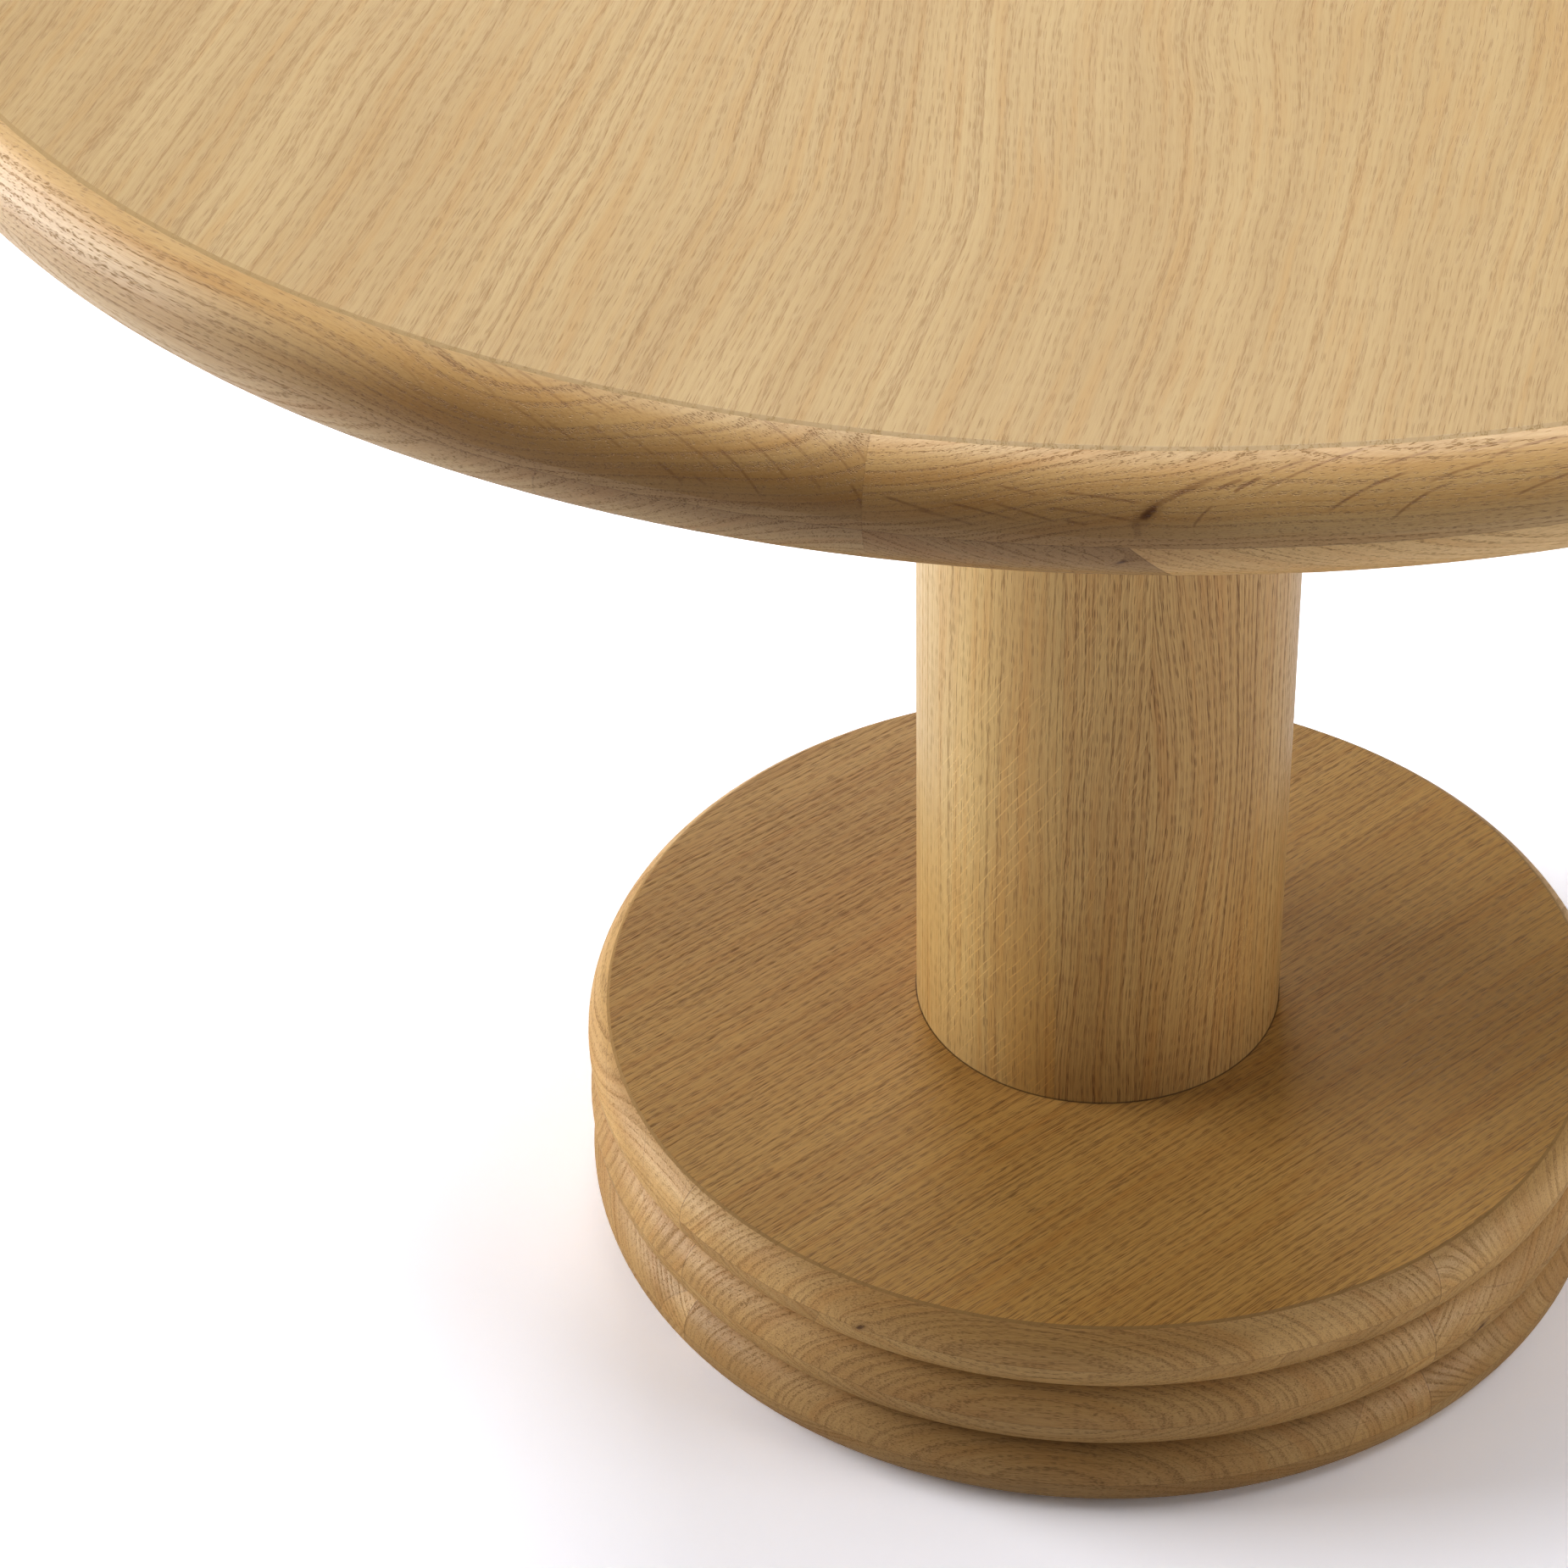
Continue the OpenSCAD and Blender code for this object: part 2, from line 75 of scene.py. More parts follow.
class Graph:
    """Makes a material's nodes. Values are numbers or Value, which adds and multiplies."""

    def __init__(self, name):
        self.material = bpy.data.materials.new(name)
        self.material.use_nodes = True
        self.tree = self.material.node_tree
        self.tree.nodes.clear()
        self.out = self.tree.nodes.new("ShaderNodeOutputMaterial")

    def node(self, kind, **settings):
        made = self.tree.nodes.new(kind)
        for key, value in settings.items():
            setattr(made, key, value)
        return made

    def put(self, socket, value):
        if isinstance(value, Value):
            self.tree.links.new(value.socket, socket)
        elif isinstance(value, bpy.types.NodeSocket):
            self.tree.links.new(value, socket)
        else:
            socket.default_value = value

    def math(self, operation, a, b=None, c=None, clamp=False):
        made = self.node("ShaderNodeMath", operation=operation, use_clamp=clamp)
        for i, value in enumerate((a, b, c)):
            if value is not None:
                self.put(made.inputs[i], value)
        return Value(self, made.outputs[0])

    def step(self, value, lo, hi, out_lo=0.0, out_hi=1.0):
        """Smooth change from out_lo to out_hi while value goes from lo to hi."""
        made = self.node("ShaderNodeMapRange", interpolation_type="SMOOTHSTEP", clamp=True)
        for name, given in (
            ("Value", value),
            ("From Min", lo),
            ("From Max", hi),
            ("To Min", out_lo),
            ("To Max", out_hi),
        ):
            self.put(made.inputs[name], given)
        return Value(self, made.outputs[0])

    def vector(self, x, y, z):
        made = self.node("ShaderNodeCombineXYZ")
        for i, value in enumerate((x, y, z)):
            self.put(made.inputs[i], value)
        return made.outputs[0]

    def noise(self, x, y, z, detail=2.0, rough=0.5, warp=0.0):
        """Noise from about 0.25 to 0.75, 0.5 on average."""
        made = self.node("ShaderNodeTexNoise", noise_dimensions="3D")
        self.put(made.inputs["Vector"], self.vector(x, y, z))
        made.inputs["Scale"].default_value = 1.0
        made.inputs["Detail"].default_value = detail
        made.inputs["Roughness"].default_value = rough
        made.inputs["Distortion"].default_value = warp
        return Value(self, made.outputs["Fac"])

    def cells(self, x, y, z, random_share=1.0):
        """Distance to the nearest cell's middle, and that cell's own random number."""
        made = self.node("ShaderNodeTexVoronoi", voronoi_dimensions="3D", feature="F1")
        self.put(made.inputs["Vector"], self.vector(x, y, z))
        made.inputs["Scale"].default_value = 1.0
        made.inputs["Randomness"].default_value = random_share
        split = self.node("ShaderNodeSeparateColor")
        self.tree.links.new(made.outputs["Color"], split.inputs[0])
        return Value(self, made.outputs["Distance"]), Value(self, split.outputs[0])

    def mix(self, share, a, b, blend="MIX"):
        made = self.node("ShaderNodeMix", data_type="RGBA", blend_type=blend)
        made.clamp_factor = True
        self.put(made.inputs[0], share)
        self.put(made.inputs[6], a)
        self.put(made.inputs[7], b)
        return made.outputs[2]

    def place(self):
        """The point in the CAD frame, in millimetres, as three values."""
        coordinates = self.node("ShaderNodeTexCoord")
        split = self.node("ShaderNodeSeparateXYZ")
        self.tree.links.new(coordinates.outputs["Object"], split.inputs[0])
        return [Value(self, split.outputs[i]) * 1000.0 for i in range(3)]

    def shader(self, colour, rough, bump=None, bump_mm=0.1, **constants):
        made = self.node("ShaderNodeBsdfPrincipled")
        self.put(made.inputs["Base Color"], colour)
        self.put(made.inputs["Roughness"], rough)
        for key, value in constants.items():
            made.inputs[key.replace("_", " ")].default_value = value
        if bump is not None:
            relief = self.node("ShaderNodeBump")
            relief.inputs["Strength"].default_value = 1.0
            relief.inputs["Distance"].default_value = bump_mm / 1000.0
            self.put(relief.inputs["Height"], bump)
            self.tree.links.new(relief.outputs["Normal"], made.inputs["Normal"])
        self.tree.links.new(made.outputs[0], self.out.inputs["Surface"])
        return self.material


class Value:
    """One number per surface point."""

    def __init__(self, graph, socket):
        self.graph, self.socket = graph, socket

    def __add__(self, other):
        return self.graph.math("ADD", self, other)

    __radd__ = __add__

    def __mul__(self, other):
        return self.graph.math("MULTIPLY", self, other)

    __rmul__ = __mul__

    def __sub__(self, other):
        return self.graph.math("SUBTRACT", self, other)

    def __rsub__(self, other):
        return self.graph.math("SUBTRACT", other, self)

    def __truediv__(self, other):
        return self.graph.math("DIVIDE", self, other)


# ------------------------------------------------------------------ oak
def rings(g, r, spacing, seed=0.0, band=(0.20, 0.66)):
    """Early-wood share, 0 to 1: a sharp start to each ring and a soft end. Good and poor years differ in width and in strength."""
    uneven = r + (g.noise(r / (spacing * 3.4), seed, 3.1, detail=1.0) - 0.5) * (spacing * 2.6)
    count = uneven / spacing
    phase = g.math("FRACT", count)
    year = g.node("ShaderNodeTexWhiteNoise", noise_dimensions="1D")
    g.put(year.inputs["W"], g.math("FLOOR", count) + seed)
    strong = Value(g, year.outputs["Value"]) * 0.75 + 0.25
    return g.step(phase, 0.0, 0.12) * g.step(phase, band[0], band[1], 1.0, 0.0) * strong


def oak(
    g,
    u,
    v,
    w,
    r,
    tone,
    seed,
    spacing=5.0,
    contrast=0.5,
    pore_len=5.0,
    pore_wide=0.62,
    pores=0.6,
    fibre=0.30,
    blotch=0.5,
    background=0.18,
    band=(0.20, 0.66),
    fine_share=0.5,
    gloss=0.33,
):
    """Oak's colour, roughness and relief. u runs along the grain, v and w across it, r counts growth rings, all in millimetres."""
    light, mid, dark, pore = tone
    s = seed * 7.31
    early = rings(g, r, spacing, s, band)
    fine = rings(g, r, spacing * 0.37, s + 5.0, (0.22, 0.60))
    patches = g.noise(u / 240.0 + s, v / 30.0, w / 30.0, detail=2.0)
    colour = g.mix(g.step(patches, 0.5 - 0.24, 0.5 + 0.24) * blotch, light, mid)
    # warmer and cooler streaks
    streaks = g.noise(u / 130.0 + s, r / 5.5, 7.7, detail=2.0)
    warm = tuple(c * k for c, k in zip(mid, (1.05, 0.96, 0.84, 1.0)))
    colour = g.mix(g.step(streaks, 0.46, 0.70) * 0.55, colour, warm)
    # rings are drawn by fine streaks of open wood, so they break up along the grain
    along = g.noise(u / 30.0 + s, v / 0.75, w / 0.75, detail=2.0, rough=0.6)
    lines = early * 0.8 + fine * fine_share
    colour = g.mix(lines * contrast * g.step(along, 0.34, 0.64, 0.35, 1.0), colour, dark)
    fibres = g.noise(u / 14.0 + s, v / 0.42, w / 0.42, detail=2.0, rough=0.62)
    colour = g.mix(g.step(fibres, 0.50, 0.70) * fibre, colour, dark)
    colour = g.mix(g.step(fibres, 0.50, 0.32) * (fibre * 0.7), colour, light)
    near, chance = g.cells(u / pore_len + s, v / pore_wide, w / pore_wide)
    wanted = (early + fine * 0.35) * (1.0 - background) + background
    pits = g.step(near, 0.54, 0.30) * g.step(chance - wanted, 0.02, -0.10)
    colour = g.mix(pits * pores, colour, pore)
    rough = gloss + (fibres - 0.5) * 0.14 + pits * 0.30 + lines * 0.10
    relief = fibres * 0.30 - pits * 0.8 - early * 0.12
    return colour, rough, relief


def joint_line(g, x, y, azimuths, radius, half=0.16, soft=0.34):
    """1 on the upright planes through the axis at these azimuths, out to half a millimetre or so."""
    total = None
    for a in azimuths:
        c, s = math.cos(math.radians(a)), math.sin(math.radians(a))
        off = g.math("ABSOLUTE", y * c - x * s)
        ahead = g.step(x * c + y * s, 0.0, radius * 0.2)
        line = g.step(off, half, half + soft, 1.0, 0.0) * ahead
        total = line if total is None else g.math("MAXIMUM", total, line)
    return total


TOP_TONE = (srgb(163, 143, 109), srgb(154, 132, 98), srgb(135, 108, 71), srgb(120, 90, 55))
LIP_TONE = (srgb(181, 152, 108), srgb(167, 135, 90), srgb(133, 96, 53), srgb(102, 68, 34))
COLUMN_TONE = (srgb(207, 176, 121), srgb(192, 156, 102), srgb(155, 113, 65), srgb(116, 78, 40))
BASE_TONE = (srgb(212, 174, 108), srgb(194, 154, 91), srgb(151, 111, 59), srgb(105, 71, 34))
RIM_TONE = (srgb(198, 166, 115), srgb(179, 145, 94), srgb(141, 105, 61), srgb(101, 70, 38))


def tinted(tone, gain, warm=0.0):
    """A tone made lighter or darker, and warmer or cooler."""
    return tuple(
        (c[0] * gain * (1 + warm), c[1] * gain, c[2] * gain * (1 - warm), 1.0) for c in tone
    )


def flat_veneer(
    name, tone, azimuth, seed, spacing, wave, bends=(), edge=None, rim=None, foot=None, **looks
):
    """A flat sheet of straight-grain oak. Bends are (u0, u1, v0, width, shift): the lines step sideways between u0 and u1."""
    g = Graph(name)
    x, y, z = g.place()
    c, s = math.cos(math.radians(azimuth)), math.sin(math.radians(azimuth))
    u, v = x * c + y * s, y * c - x * s
    drift = (g.noise(u / 330.0 + seed, v / 210.0, 0.5, detail=1.0) - 0.5) * wave
    ripple = (g.noise(u / 70.0 + seed, v / 60.0, 4.5, detail=2.0) - 0.5) * (wave * 0.16)
    r = v + drift + ripple
    for u0, u1, v0, width, shift in bends:
        side = g.math("EXPONENT", g.math("POWER", (v - v0) / width, 2.0) * -1.0)
        r = r + g.step(u, u0, u1, 0.0, shift) * side
    # the pores and fibres follow the lines, so they use r across the grain
    colour, rough, relief = oak(g, u, r, z, r, tone, seed, spacing=spacing, **looks)
    radius = g.math("SQRT", x * x + y * y)
    if edge:
        # the sheet's own thin edge, shaped together with the solid edge
        line = g.step(radius, edge - 0.12, edge + 0.02)
        colour = g.mix(line * 0.85, colour, rim)
        rough = rough + line * 0.2
    # painted shadow: a thin dark ring on the base top round the column's foot, standing for the contact shadow there
    if foot:
        line = g.step(radius, foot + 0.9, foot + 0.2)
        colour = g.mix(line * 0.7, colour, srgb(74, 48, 26))
    return g.shader(colour, rough, relief, 0.10, IOR=1.48, Specular_IOR_Level=0.5)


def column_veneer(name, tone, seed, spacing, wave, lean=0.0, flecks=(), bulge=None, tints_and_sheen=(), **looks):
    """A leaf wrapped round the column, with its grain upright. flecks are (strength, slope, v0, v1, z0, z1); bulge is
    (v, z, shift).
    Tint entries are (v0, v1, z0, z1, colour): the leaf turns to that colour between v0 and v1, and between z0 and z1.
    On the left leaf one of them is painted highlight."""
    g = Graph(name)
    x, y, z = g.place()
    v = g.math("ARCTAN2", x, y * -1.0) * 88.5
    u = z
    drift = (g.noise(u / 190.0 + seed, v / 70.0, 0.5, detail=1.0) - 0.5) * wave
    ripple = (g.noise(u / 26.0 + seed, v / 14.0, 4.5, detail=2.0) - 0.5) * (wave * 0.14)
    r = v + drift + ripple + u * lean
    if bulge:
        away = g.math("POWER", (v - bulge[0]) / 36.0, 2.0) + g.math("POWER", (z - bulge[1]) / 105.0, 2.0)
        r = r - g.math("EXPONENT", away * -1.0) * bulge[2]
    colour, rough, relief = oak(g, u, r, 0.0, r, tone, seed, spacing=spacing, **looks)
    for strength, slope, v0, v1, z0, z1 in flecks:
        # ray flecks: thin pale lines that climb across the leaf, where it is cut nearest to the rays
        a, b = math.cos(math.radians(slope)), math.sin(math.radians(slope))
        run, across = v * a + z * b, z * a - v * b
        wobble = (g.noise(run / 30.0, across / 26.0, seed, detail=1.0) - 0.5) * 1.5
        phase = g.math("FRACT", across / 3.4 + wobble)
        thin = g.step(phase, 0.0, 0.08) * g.step(phase, 0.12, 0.24, 1.0, 0.0)
        parts = g.step(g.noise(run / 20.0, across / 3.4, seed + 5.0, detail=1.0), 0.42, 0.54)
        where = g.step(v, v0 - 18.0, v0 + 14.0) * g.step(v, v1 - 8.0, v1 + 8.0, 1.0, 0.0)
        where = where * g.step(z, z0 - 25.0, z0 + 20.0) * g.step(z, z1 - 45.0, z1 + 25.0, 1.0, 0.0)
        where = where * g.step(g.noise(v / 34.0, z / 60.0, 9.0 + seed, detail=1.0), 0.36, 0.54, 0.25, 1.0)
        colour = g.mix(thin * parts * where * strength, colour, tinted(tone, 1.32)[0])
        rough = rough - thin * parts * where * 0.10
    # tint entries change the leaf's colour; on the left leaf the first one paints a highlight along the lit edge
    for v0, v1, z0, z1, shade in tints_and_sheen:
        there = g.step(v, v0, v1) * g.step(z, z0, z1)
        colour = g.mix(there, colour, g.mix(1.0, colour, (*shade, 1.0), "MULTIPLY"))
    # painted shadow: a thin dark line along the leaf's foot, where it stands on the base top, standing for the contact
    # shadow there
    foot_contact_shadow = g.step(z, 110.6, 110.1)
    seams = joint_line(g, x, y, (-102.2, -76.8, 6.85, 90.5, 174.15), 88.5, 0.05, 0.30)
    colour = g.mix(seams * 0.22, colour, tone[3])
    colour = g.mix(foot_contact_shadow * 0.6, colour, srgb(74, 48, 26))
    return g.shader(colour, rough, relief, 0.12, IOR=1.48, Specular_IOR_Level=0.5)


def blank(
    name,
    tone,
    middle,
    split,
    seed,
    joints,
    outer,
    spacing,
    inner_edge=None,
    lower_gain=(0.97, 0.0),
    patches=(),
    knots=(),
    rays=0.0,
    ray_colour=None,
    wander=14.0,
    piths=None,
    swells=(),
    pith_turn=None,
    bold=(),
    face=None,
    marks=(),
    mark_dark=1.0,
    streaks=(),
    joint_dark=0.3,
    contrast=0.4,
    **looks,
):
    """A segment cut from a straight blank of two glued layers. middle is the azimuth of its centre, and split the height of the glue line.
    patches are (azimuth, slope, side, layer, gain, warm), where another board starts in one layer. knots are (azimuth, height, size).
    piths are the trunk's centre for the upper and the lower layer, from the outer face and the glue line; pith_turn (u0, u1, dv, dw) moves it
    along the board. swells (u0, width, shift) bend the rings, and bold (azimuth, height, du, dw, gain) makes them stronger. face is the edge's
    middle height and radius. marks are rays that the curved face cuts: (azimuth0, depth0, azimuth1, depth1, bow, strength, half width)."""
    g = Graph(name)
    x, y, z = g.place()
    c, s = math.cos(math.radians(middle)), math.sin(math.radians(middle))
    u, v, w = y * c - x * s, x * c + y * s, z
    pick = random.Random(int(seed * 1000) + 17)
    lower = g.step(w, split + 0.05, split - 0.05)  # 1 in the lower layer
    # each layer was sawn from a different part of a trunk
    pith_v = outer - pick.uniform(60.0, 130.0)
    pith_w = split + pick.choice((-1.0, 1.0)) * pick.uniform(60.0, 120.0)
    pith_v2 = outer - pick.uniform(40.0, 150.0)
    pith_w2 = split + pick.choice((-1.0, 1.0)) * pick.uniform(50.0, 110.0)
    if piths:
        pith_v, pith_w = outer + piths[0][0], split + piths[0][1]
        pith_v2, pith_w2 = outer + piths[1][0], split + piths[1][1]
    slope = pick.uniform(-0.03, 0.03)
    warp_v = (g.noise(u / 190.0 + seed, v / 80.0, w / 70.0, detail=1.0) - 0.5) * wander
    warp_w = (g.noise(u / 170.0 + seed + 9.0, v / 80.0, w / 70.0, detail=1.0) - 0.5) * wander
    dv = v + warp_v + u * slope - pith_v - lower * (pith_v2 - pith_v)
    dw = w + warp_w - pith_w - lower * (pith_w2 - pith_w)
    for u0, width, shift in swells:
        dw = dw + g.math("EXPONENT", g.math("POWER", (u - u0) / width, 2.0) * -1.0) * (1.0 - lower) * shift
    if pith_turn:
        u0, u1, move_v, move_w = pith_turn
        turned = g.step(u, u0, u1) * (1.0 - lower)
        dv = dv - turned * move_v
        dw = dw - (1.0 - g.math("POWER", 1.0 - turned, 3.0)) * move_w
    for azimuth, height, size in knots:
        a = math.radians(azimuth - middle)
        ku, kv = outer * math.sin(a), outer * math.cos(a)
        d2 = g.math("POWER", (u - ku) / (size * 4.2), 2.0) + g.math(
            "POWER", (w - height) / (size * 2.4), 2.0
        )
        dv = dv + g.math("EXPONENT", d2 * -1.0) * (size * 3.4)
    r = g.math("SQRT", dv * dv + dw * dw)
    strength = 1.0 - lower * 0.4
    for azimuth, height, wide, tall, gain in bold:
        u0 = outer * math.sin(math.radians(azimuth - middle))
        far = g.math("POWER", (u - u0) / wide, 2.0) + g.math("POWER", (w - height) / tall, 2.0)
        strength = strength + g.math("EXPONENT", far * -1.0) * gain
    colour, rough, relief = oak(
        g, u + lower * 340.0, v, w, r, tone, seed, spacing=spacing, contrast=strength * contrast, **looks
    )
    # medullary rays: thin sheets through the pith that run along the grain
    if rays:
        turn = g.math("ARCTAN2", dw, dv) * 14.0
        turn = turn + (g.noise(u / 60.0 + seed, r / 30.0, 2.2, detail=1.0) - 0.5) * 0.9
        sheet_at = g.math("FRACT", turn)
        thin = g.step(sheet_at, 0.0, 0.02) * g.step(sheet_at, 0.035, 0.085, 1.0, 0.0)
        there = g.noise(u / 42.0 + seed, r / 30.0, g.math("FLOOR", turn) * 0.83, detail=1.0)
        colour = g.mix(thin * g.step(there, 0.47, 0.58) * rays, colour, ray_colour or tone[3])
    # the layers' own tones
    gain, warm = lower_gain
    colour = g.mix(
        lower, colour, g.mix(1.0, colour, (gain * (1 + warm), gain, gain * (1 - warm), 1.0), "MULTIPLY")
    )
    for azimuth, lean, side, layer, gain, warm in patches:
        a = math.radians(azimuth - middle)
        cut = u - (w - split) * lean - outer * math.sin(a)
        mask = g.step(cut * side, -0.25, 0.25)
        if layer is not None:
            mask = mask * (lower if layer == "lower" else 1.0 - lower)
        colour = g.mix(
            mask, colour, g.mix(1.0, colour, (gain * (1 + warm), gain, gain * (1 - warm), 1.0), "MULTIPLY")
        )
        edge = g.step(g.math("ABSOLUTE", cut), 0.1, 0.5, 1.0, 0.0)
        if layer is not None:
            edge = edge * (lower if layer == "lower" else 1.0 - lower)
        colour = g.mix(edge * 0.25, colour, tone[3])
    for azimuth, height, size in knots:
        a = math.radians(azimuth - middle)
        ku, kv = outer * math.sin(a), outer * math.cos(a)
        # a small brown eye that leans with the grain, and darker wood round it
        ragged = (g.noise(u / 2.4, w / 1.8, seed, detail=3.0) - 0.5) * 1.2
        du, dz = u - ku, w - height
        along, aside = du * 0.80 + dz * 0.60, dz * 0.80 - du * 0.60
        eye = g.math("POWER", along / (size * 1.35), 2.0) + g.math("POWER", aside / (size * 0.55), 2.0)
        colour = g.mix(g.step(eye + ragged, 7.0, 0.5) * 0.30, colour, tone[3])
        colour = g.mix(g.step(eye + ragged, 1.8, -0.2) * 0.85, colour, srgb(88, 52, 31))
    if marks:
        around_face = g.math("ARCTAN2", u, v) * outer
        depth = (math.asin(25.0 / face[1]) - g.math("ARCSINE", (w - face[0]) / face[1])) * face[1]
        total = None
        for a0, d0, a1, d1, bow, dark, half in marks:
            s0, s1 = (outer * math.radians((a - middle + 180.0) % 360.0 - 180.0) for a in (a0, a1))
            ds, dd = s1 - s0, d1 - d0
            length = math.hypot(ds, dd)
            t = around_face * (ds / length**2) + (depth * (dd / length**2) - (s0 * ds + d0 * dd) / length**2)
            off = around_face * (dd / length) + (depth * (-ds / length) - (s0 * dd - d0 * ds) / length)
            off = off - t * (1.0 - t) * (4.0 * bow)
            line = g.step(g.math("ABSOLUTE", off), half * 0.6, half * 1.8 + 0.26, dark * mark_dark, 0.0)
            line = line * g.step(t, -0.03, 0.14) * g.step(t, 0.82, 1.05, 1.0, 0.0)
            total = line if total is None else g.math("MAXIMUM", total, line)
        broken = g.noise(u / 6.0, w / 3.0, seed + 4.0, detail=2.0)
        colour = g.mix(total * g.step(broken, 0.30, 0.56, 0.55, 1.0), colour, srgb(104, 62, 38))
        # painted highlight: the crown of the edge is made paler and cooler, standing for the sheen of the light above
        painted_crown_sheen = g.step(depth, 9.0, 2.5)
        colour = g.mix(painted_crown_sheen, colour, g.mix(1.0, colour, (0.98, 1.03, 1.14, 1.0), "MULTIPLY"))
    for u0, u1, w0, w1, fade, shade in streaks:
        # a darker band that runs along the grain: painted shade, standing for the dim light on the lip's front-facing
        # middle
        drift = (g.noise(u / 80.0 + seed, w / 30.0, 1.2, detail=2.0) - 0.5) * 12.0
        there = g.step(u, u0 - fade, u0 + fade) * g.step(u, u1 - fade, u1 + fade, 1.0, 0.0)
        there = there * g.step(w + drift, w0 - 7.0, w0 + 7.0) * g.step(w + drift, w1 - 8.0, w1 + 8.0, 1.0, 0.0)
        colour = g.mix(there, colour, g.mix(1.0, colour, shade, "MULTIPLY"))
    radius = g.math("SQRT", x * x + y * y)
    glue = g.step(g.math("ABSOLUTE", w - split), 0.05, 0.40, 1.0, 0.0)
    colour = g.mix(glue * 0.22, colour, tone[3])
    line = joint_line(g, x, y, joints, outer, 0.04, 0.34)
    colour = g.mix(line * joint_dark, colour, tone[3])
    if inner_edge:
        colour = g.mix(
            g.step(radius, inner_edge + 0.7, inner_edge + 0.05) * 0.06, colour, tone[3]
        )
    return g.shader(colour, rough, relief, 0.12, IOR=1.48, Specular_IOR_Level=0.5)


def plain_wood(name, tone, axis, seed, strips=None, **looks):
    """Core stock: blockboard strips, plywood, dowels. axis is the grain's direction."""
    g = Graph(name)
    x, y, z = g.place()
    along, across, deep = {"x": (x, y, z), "y": (y, x, z), "z": (z, x, y)}[axis]
    r = g.math("SQRT", g.math("POWER", across + 31.0, 2.0) + g.math("POWER", deep - 95.0, 2.0))
    colour, rough, relief = oak(g, along, across, deep, r, tone, seed, **looks)
    if strips:
        place = across / strips
        edge = g.math("ABSOLUTE", g.math("FRACT", place) - 0.5)
        colour = g.mix(g.step(edge, 0.5 - 0.5 / strips, 0.5) * 0.5, colour, tone[3])
        number = g.math("FLOOR", place)
        own = g.noise(number * 3.7, seed, 1.5, detail=0.0)
        colour = g.mix(g.step(own, 0.3, 0.7) * 0.5, colour, tone[1])
    return g.shader(colour, rough + 0.22, relief, 0.10, IOR=1.45)


# ------------------------------------------------------------------ metals and nylon
def powder_coat(name):
    g = Graph(name)
    x, y, z = g.place()
    orange = g.noise(x / 0.9, y / 0.9, z / 0.9, detail=2.0)
    cloud = g.noise(x / 55.0, y / 55.0, z / 55.0, detail=3.0)
    colour = g.mix(g.step(cloud, 0.35, 0.65), (0.018, 0.018, 0.020, 1), (0.031, 0.031, 0.034, 1))
    colour = g.mix(g.step(orange, 0.62, 0.74) * 0.35, colour, (0.06, 0.06, 0.065, 1))
    return g.shader(colour, 0.46 + (cloud - 0.5) * 0.2, orange, 0.05, IOR=1.5)


def metal(name, base, shade, rough, scale=1.0, brushed=True):
    g = Graph(name)
    x, y, z = g.place()
    swirl = g.noise(x / (0.5 * scale), y / (0.5 * scale), z / (6.0 * scale if brushed else 0.5), detail=3.0)
    cloud = g.noise(x / 14.0, y / 14.0, z / 14.0, detail=3.0)
    colour = g.mix(g.step(cloud, 0.34, 0.68), base, shade)
    return g.shader(
        colour, rough + (swirl - 0.5) * 0.26 + (cloud - 0.5) * 0.12, swirl, 0.02, Metallic=1.0
    )


def nylon(name):
    g = Graph(name)
    x, y, z = g.place()
    grain = g.noise(x / 0.35, y / 0.35, z / 0.35, detail=2.0)
    scuff = g.noise(x / 2.2, y / 7.0, z / 2.2, detail=4.0, rough=0.7)
    colour = g.mix(g.step(grain, 0.4, 0.62), (0.017, 0.017, 0.019, 1), (0.026, 0.026, 0.028, 1))
    colour = g.mix(g.step(scuff, 0.60, 0.76) * 0.4, colour, (0.075, 0.074, 0.072, 1))
    return g.shader(colour, 0.52 + (grain - 0.5) * 0.25, grain, 0.04, IOR=1.53)


# ------------------------------------------------------------------ paint the nodes
def paint(node, material):
    slots = nodes[node].data.materials
    if len(slots):
        for i in range(len(slots)):
            slots[i] = material
    else:
        slots.append(material)


LIP_JOINTS = [-98.8 + 60 * k for k in range(6)]
RIM_JOINTS = [-140 + 90 * k for k in range(4)]

paint(
    "top_face_veneer",
    flat_veneer(
        "oak_top", TOP_TONE, 80.0, 1.0, 8.0, 26.0,
        bends=((-400.0, -170.0, -20.0, 120.0, -34.0), (-250.0, 60.0, 240.0, 160.0, 22.0)),
        edge=509.0, rim=(0.298, 0.205, 0.094, 1.0), contrast=0.48, pore_len=9.0, pore_wide=0.34, pores=0.34, fibre=0.37, blotch=0.7,
        background=0.14, fine_share=0.7,
    ),
)
paint(
    "top_back_veneer",
    flat_veneer(
        "oak_top_back", tinted(TOP_TONE, 0.80, 0.03), 80.0, 6.0, 8.0, 22.0,
        contrast=0.50, pore_len=7.0, pore_wide=0.38, pores=0.45, fibre=0.40,
    ),
)
paint(
    "base_top_veneer",
    flat_veneer(
        "oak_base", BASE_TONE, 44.0, 3.0, 3.9, 10.0,
        edge=239.0, rim=tinted(RIM_TONE, 0.88)[1], foot=88.5, contrast=0.50, pore_len=7.5, pore_wide=0.29, pores=0.60, fibre=0.62,
        blotch=0.6, background=0.16, fine_share=0.6, gloss=0.42,
    ),
)

LIP_PITHS = {1: ((-95, 95), (-150, -70)), 6: ((-20, 129), (-75, -16))}
